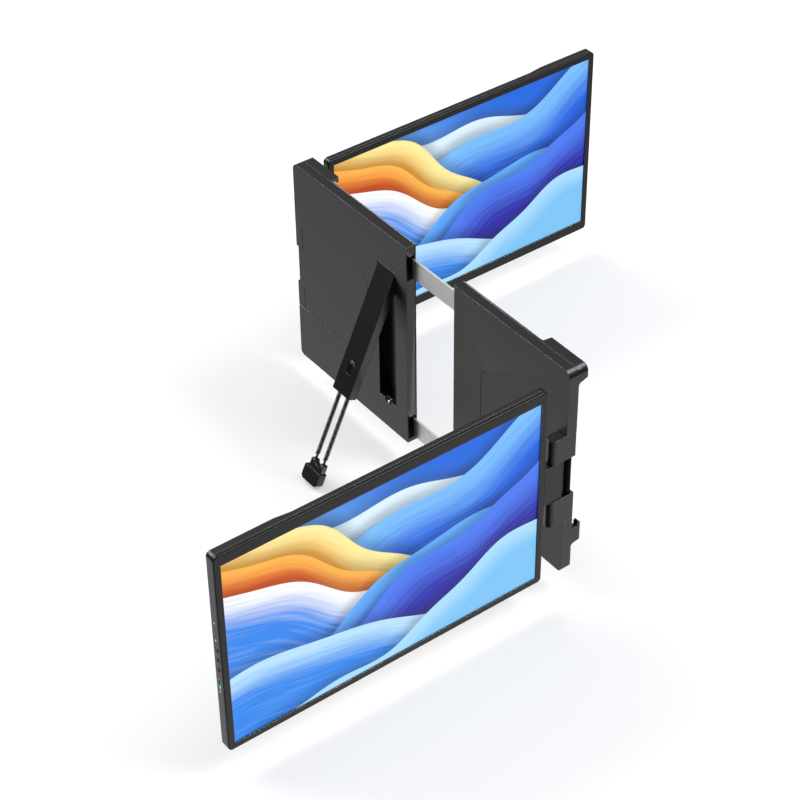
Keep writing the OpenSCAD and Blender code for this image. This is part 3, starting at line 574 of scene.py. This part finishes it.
# block that joins the rods, with a round notch between them
def addCollar(work, c, middle, out):
    half = c["width"] / 2
    outline = [(-half, c["bottom"]), (-half, c["top"])]
    for angle in (math.radians(a) for a in range(0, 181, c["notchStep"])):
        outline.append((-c["notch"] * math.cos(angle), c["top"] + c["notch"] * math.sin(angle)))
    outline += [(half, c["top"]), (half, c["bottom"])]
    rings = []
    for y in (out - c["thickness"] / 2, out + c["thickness"] / 2):
        rings.append([work.verts.new(Vector((middle + x, y, -s)) * mm) for x, s in outline])
    work.faces.new(rings[0])
    work.faces.new(list(reversed(rings[1])))
    for i in range(len(outline)):
        j = (i + 1) % len(outline)
        work.faces.new((rings[0][j], rings[0][i], rings[1][i], rings[1][j]))
    bmesh.ops.recalc_face_normals(work, faces=work.faces)
    bevelEdges(work, sharpEdges(work), c["edge"], c["edgeSteps"])


def addStandRods():
    work = bmesh.new()
    addCollar(work, collarBlock, threadedRod["middle"], threadedRod["out"])
    work.from_mesh(rodMesh(threadedRod))
    mesh = bpy.data.meshes.new("threadedRods")
    work.to_mesh(mesh)
    work.free()
    mesh.transform(standPlace)
    shadeByAngle(mesh, threadedRod["crispDegrees"])
    addPiece("threadedRods", mesh, finishes["dark_steel"], "stand_extension", ("stand_rods",))


addStandRods()
print("stage: threaded rods")


# closed rings stacked about +Z, each with its height and its radius, which may change with the angle
def ringStack(rings, count=24):
    work = bmesh.new()
    loops = []
    for height, radius in rings:
        loop = []
        for i in range(count):
            angle = 2 * math.pi * i / count
            r = radius(angle) if callable(radius) else radius
            loop.append(work.verts.new(Vector((r * math.cos(angle), r * math.sin(angle), height)) * mm))
        loops.append(loop)
    for low, high in zip(loops, loops[1:]):
        for i in range(count):
            j = (i + 1) % count
            work.faces.new((low[i], low[j], high[j], high[i]))
    work.faces.new(list(reversed(loops[0])))
    work.faces.new(loops[-1])
    return work


# boxes of the separate bodies in a CAD node
def islandBoxes(name):
    work = mergedCopy(name)
    left, boxes = set(work.verts), []
    while left:
        todo, island = [left.pop()], []
        while todo:
            vert = todo.pop()
            island.append(vert.co.copy())
            for edge in vert.link_edges:
                other = edge.other_vert(vert)
                if other in left:
                    left.remove(other)
                    todo.append(other)
        boxes.append(tuple(Vector(pick(co[i] for co in island) for i in range(3)) for pick in (min, max)))
    work.free()
    return boxes


# cheese-head screws with a hexagon socket, on the user side
capScrew = {
    "head": 1.8, "headHeight": 1.0, "rim": 0.2, "rimMiddle": 0.06, "shank": 0.9, "length": 6.0,
    "point": 0.4, "pointRadius": 0.63, "socket": 0.75, "depth": 0.55, "drillDepth": 0.15, "drillRadius": 0.1,
}


def capScrewMesh(s):
    def hexagon(angle):
        return s["socket"] / math.cos((angle + math.pi / 6) % (math.pi / 3) - math.pi / 6)

    work = ringStack([
        (-s["length"], s["pointRadius"]), (s["point"] - s["length"], s["shank"]), (-s["headHeight"], s["shank"]),
        (-s["headHeight"], s["head"]), (-s["rim"], s["head"]), (-s["rimMiddle"], s["head"] - s["rimMiddle"]),
        (0, s["head"] - s["rim"]), (0, hexagon), (-s["depth"], hexagon),
        (-s["depth"] - s["drillDepth"], s["drillRadius"])])
    mesh = bpy.data.meshes.new("capScrew")
    work.to_mesh(mesh)
    work.free()
    shadeByAngle(mesh)
    mesh.transform(Matrix.Rotation(-math.pi / 2, 4, "X"))
    return mesh


def screwTree(material):
    tree, given = newGeometryTree("placedScrews", [
        ("Places", "NodeSocketObject", None), ("Screw", "NodeSocketObject", None)])
    points = addNode(tree, "GeometryNodeObjectInfo", {"Object": given["Places"]}).outputs["Geometry"]
    screw = addNode(tree, "GeometryNodeObjectInfo", {"Object": given["Screw"]}).outputs["Geometry"]
    return finishTree(tree, points, screw, material)


def addShellScrews(side, tree, screwMesh):
    name = side + "_shell_screws"
    places = bpy.data.meshes.new("places")
    places.from_pydata([((a.x + b.x) / 2, b.y, (a.z + b.z) / 2) for a, b in islandBoxes(name)], [], [])
    helpers = [bpy.data.objects.new(kind, mesh) for kind, mesh in (("places", places), ("screw", screwMesh))]
    for helper in helpers:
        bpy.context.collection.objects.link(helper)
    mesh = bakeTree(tree, {"Places": helpers[0], "Screw": helpers[1]}, pieceName(name))
    for helper in helpers:
        bpy.data.objects.remove(helper)
    addPiece(pieceName(name), mesh, finishes["dark_steel"], bodyOf[name], (name,))


shellScrewTree = screwTree(finishes["dark_steel"])
for side in ("left", "right"):
    addShellScrews(side, shellScrewTree, capScrewMesh(capScrew))
print("stage: screws")


# polished ball that holds the folded stand
detentBall = {"radius": 1.7, "stalk": 2.2, "stalkWidth": 0.98, "step": 8, "sides": 40}


def addDetent(d):
    low, high = (Vector(c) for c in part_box("detent_dome"))
    r = d["radius"]
    turns = [math.radians(a) for a in range(0, 89, d["step"])]
    rings = [(-d["stalk"], r * d["stalkWidth"])] + [(r * math.sin(a), r * math.cos(a)) for a in turns]
    work = ringStack(rings, d["sides"])
    mesh = bpy.data.meshes.new("detentBall")
    work.to_mesh(mesh)
    work.free()
    shadeByAngle(mesh)
    middle = Vector(((low.x + high.x) / 2, low.y + r * mm, (low.z + high.z) / 2))
    mesh.transform(Matrix.Translation(middle) @ Matrix.Rotation(math.pi / 2, 4, "X"))
    addPiece("detentBall", mesh, finishes["whiteScrew"], "detent", ("detent_dome",))


addDetent(detentBall)


# small green lens in the end of each socket's mouth
pilotLens = {"width": 1.5, "length": 1.7, "depth": 1.0, "inset": 0.15, "fromEnd": 1.9,
             "edge": 0.2, "edgeSteps": 2}


def addPilotLens(side, s):
    low, high = (Vector(c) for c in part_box(side + "_usb_port"))
    inward = 1 if side == "right" else -1
    mouth, end = (low.y, low.z) if side == "right" else (high.y, high.z)
    work = bmesh.new()
    bmesh.ops.create_cube(work, size=1.0)
    size = Vector((s["width"], s["depth"], s["length"])) * mm
    middle = Vector(((low.x + high.x) / 2, mouth + inward * (s["inset"] * mm + size.y / 2),
                     end + inward * s["fromEnd"] * mm))
    for vert in work.verts:
        vert.co = Vector(a * b for a, b in zip(vert.co, size)) + middle
    bevelEdges(work, list(work.edges), s["edge"], s["edgeSteps"])
    mesh = bpy.data.meshes.new(side + "PilotLens")
    work.to_mesh(mesh)
    work.free()
    shadeByAngle(mesh)
    addPiece(side + "PilotLens", mesh, finishes["greenLamp"], side + "_monitor")


for side in ("left", "right"):
    addPilotLens(side, pilotLens)
print("stage: small pieces")


# the floor is paper that looks pure white to the camera and keeps the shadow
paperFloor = {"size": 12.0, "color": "#b8b8b8", "lift": 0.4, "fleckScale": 3.0, "drift": 0.01,
              "rough": 0.9, "sheen": 0.1}


def addFloor(s):
    mesh = bpy.data.meshes.new("floor")
    corners = [(x * s["size"], y * s["size"], 0) for x, y in ((-1, -1), (1, -1), (1, 1), (-1, 1))]
    mesh.from_pydata(corners, [], [(0, 1, 2, 3)])
    floor = bpy.data.objects.new("floor", mesh)
    bpy.context.collection.objects.link(floor)
    material, tree, shader, place = newMaterial("mattPaper")
    fleck = addNode(tree, "ShaderNodeTexNoise", {"Vector": place, "Scale": s["fleckScale"]}).outputs["Fac"]
    tree.links.new(driftColor(tree, fleck, s["color"], s["drift"]), shader.inputs["Base Color"])
    shader.inputs["Roughness"].default_value = s["rough"]
    shader.inputs["Specular IOR Level"].default_value = s["sheen"]
    seen = addNode(tree, "ShaderNodeLightPath").outputs["Is Camera Ray"]
    lift = addNode(tree, "ShaderNodeMath", {0: seen, 1: s["lift"]}, operation="MULTIPLY").outputs[0]
    shader.inputs["Emission Color"].default_value = (1, 1, 1, 1)
    tree.links.new(lift, shader.inputs["Emission Strength"])
    mesh.materials.append(material)
    floor.visible_glossy = False


# long softboxes: each shows as a bright line along the rounded edges that face it
softboxes = {
    "rightSoftbox": {"direction": (0.38, 0.46, 0.80), "along": (0.79, 0, -0.41), "size": (3.2, 1.5),
                     "radiance": 11.0},
    "leftSoftbox": {"direction": (-0.622, -0.3, 0.724), "along": (0, -0.94, -0.34), "size": (4.4, 1.0),
                    "radiance": 12.0},
}
lampStand = {"distance": 5.0, "aim": (0, 0, 0.13)}


def addSoftbox(name, s, stand):
    out = Vector(s["direction"]).normalized()
    along = Vector(s["along"])
    along = (along - out * along.dot(out)).normalized()
    turn = Matrix((along, out.cross(along), out)).transposed().to_4x4()
    light = bpy.data.lights.new(name, "AREA")
    light.shape = "RECTANGLE"
    light.size, light.size_y = s["size"]
    light.energy = s["radiance"] * light.size * light.size_y * math.pi
    lamp = bpy.data.objects.new(name, light)
    lamp.matrix_world = Matrix.Translation(Vector(stand["aim"]) + out * stand["distance"]) @ turn
    lamp.visible_camera = False
    bpy.context.collection.objects.link(lamp)


# the room as the glossy plastic sees it: light above, a pale floor below with a
# dark opening on one side, and nothing at the level of the object; white to the camera
roomLevels = {
    "above": ((0.0, 0.0), (0.15, 0.0), (0.4, 0.25), (0.63, 0.6), (1.0, 0.85)),
    "below": 0.98, "slant": 0.2, "horizon": (-0.72, -0.1),
    "opening": (0.259, -0.966, 0), "openingEdge": (0.38, 0.62), "openingLevel": 0.15,
}


def addRoom(s):
    world = bpy.data.worlds.new("studio")
    world.use_nodes = True
    tree = world.node_tree
    tree.nodes.clear()
    way = addNode(tree, "ShaderNodeTexCoord").outputs["Generated"]
    parts = addNode(tree, "ShaderNodeSeparateXYZ", {"Vector": way}).outputs
    sky = addNode(tree, "ShaderNodeValToRGB", {"Fac": parts["Z"]})
    ramp = sky.color_ramp
    for place, level in s["above"]:
        stop = ramp.elements.new(place) if place not in (0.0, 1.0) else ramp.elements[int(place)]
        stop.color = (level, level, level, 1)

    towards = addNode(tree, "ShaderNodeVectorMath", {0: way, 1: s["opening"]}, operation="DOT_PRODUCT")
    fades = (parts["Z"], s["horizon"], 0.0), (towards.outputs["Value"], s["openingEdge"], s["openingLevel"])
    floor, wall = (addNode(tree, "ShaderNodeMapRange", {
        "Value": value, "From Min": start, "From Max": end, "To Min": 1.0, "To Max": last},
        interpolation_type="SMOOTHSTEP").outputs["Result"] for value, (start, end), last in fades)
    side = addNode(tree, "ShaderNodeMath", {0: parts["X"], 1: s["slant"], 2: s["below"]},
                   operation="MULTIPLY_ADD")
    ground = addNode(tree, "ShaderNodeMath", {0: floor, 1: wall}, operation="MULTIPLY")
    level = addNode(tree, "ShaderNodeMath", {
        0: ground.outputs[0], 1: side.outputs[0], 2: sky.outputs["Color"]}, operation="MULTIPLY_ADD")
    seen = addNode(tree, "ShaderNodeLightPath").outputs["Is Camera Ray"]
    strength = addNode(tree, "ShaderNodeMix", {0: seen, 2: level.outputs[0], 3: 1.0}, data_type="FLOAT")
    light = addNode(tree, "ShaderNodeBackground", {"Strength": strength.outputs[0]})
    light.inputs["Color"].default_value = (1, 1, 1, 1)
    addNode(tree, "ShaderNodeOutputWorld", {"Surface": light.outputs["Background"]})
    bpy.context.scene.world = world


addFloor(paperFloor)
for name, settings in softboxes.items():
    addSoftbox(name, settings, lampStand)
addRoom(roomLevels)
bpy.context.scene.view_settings.view_transform = "Standard"
print("stage: light")
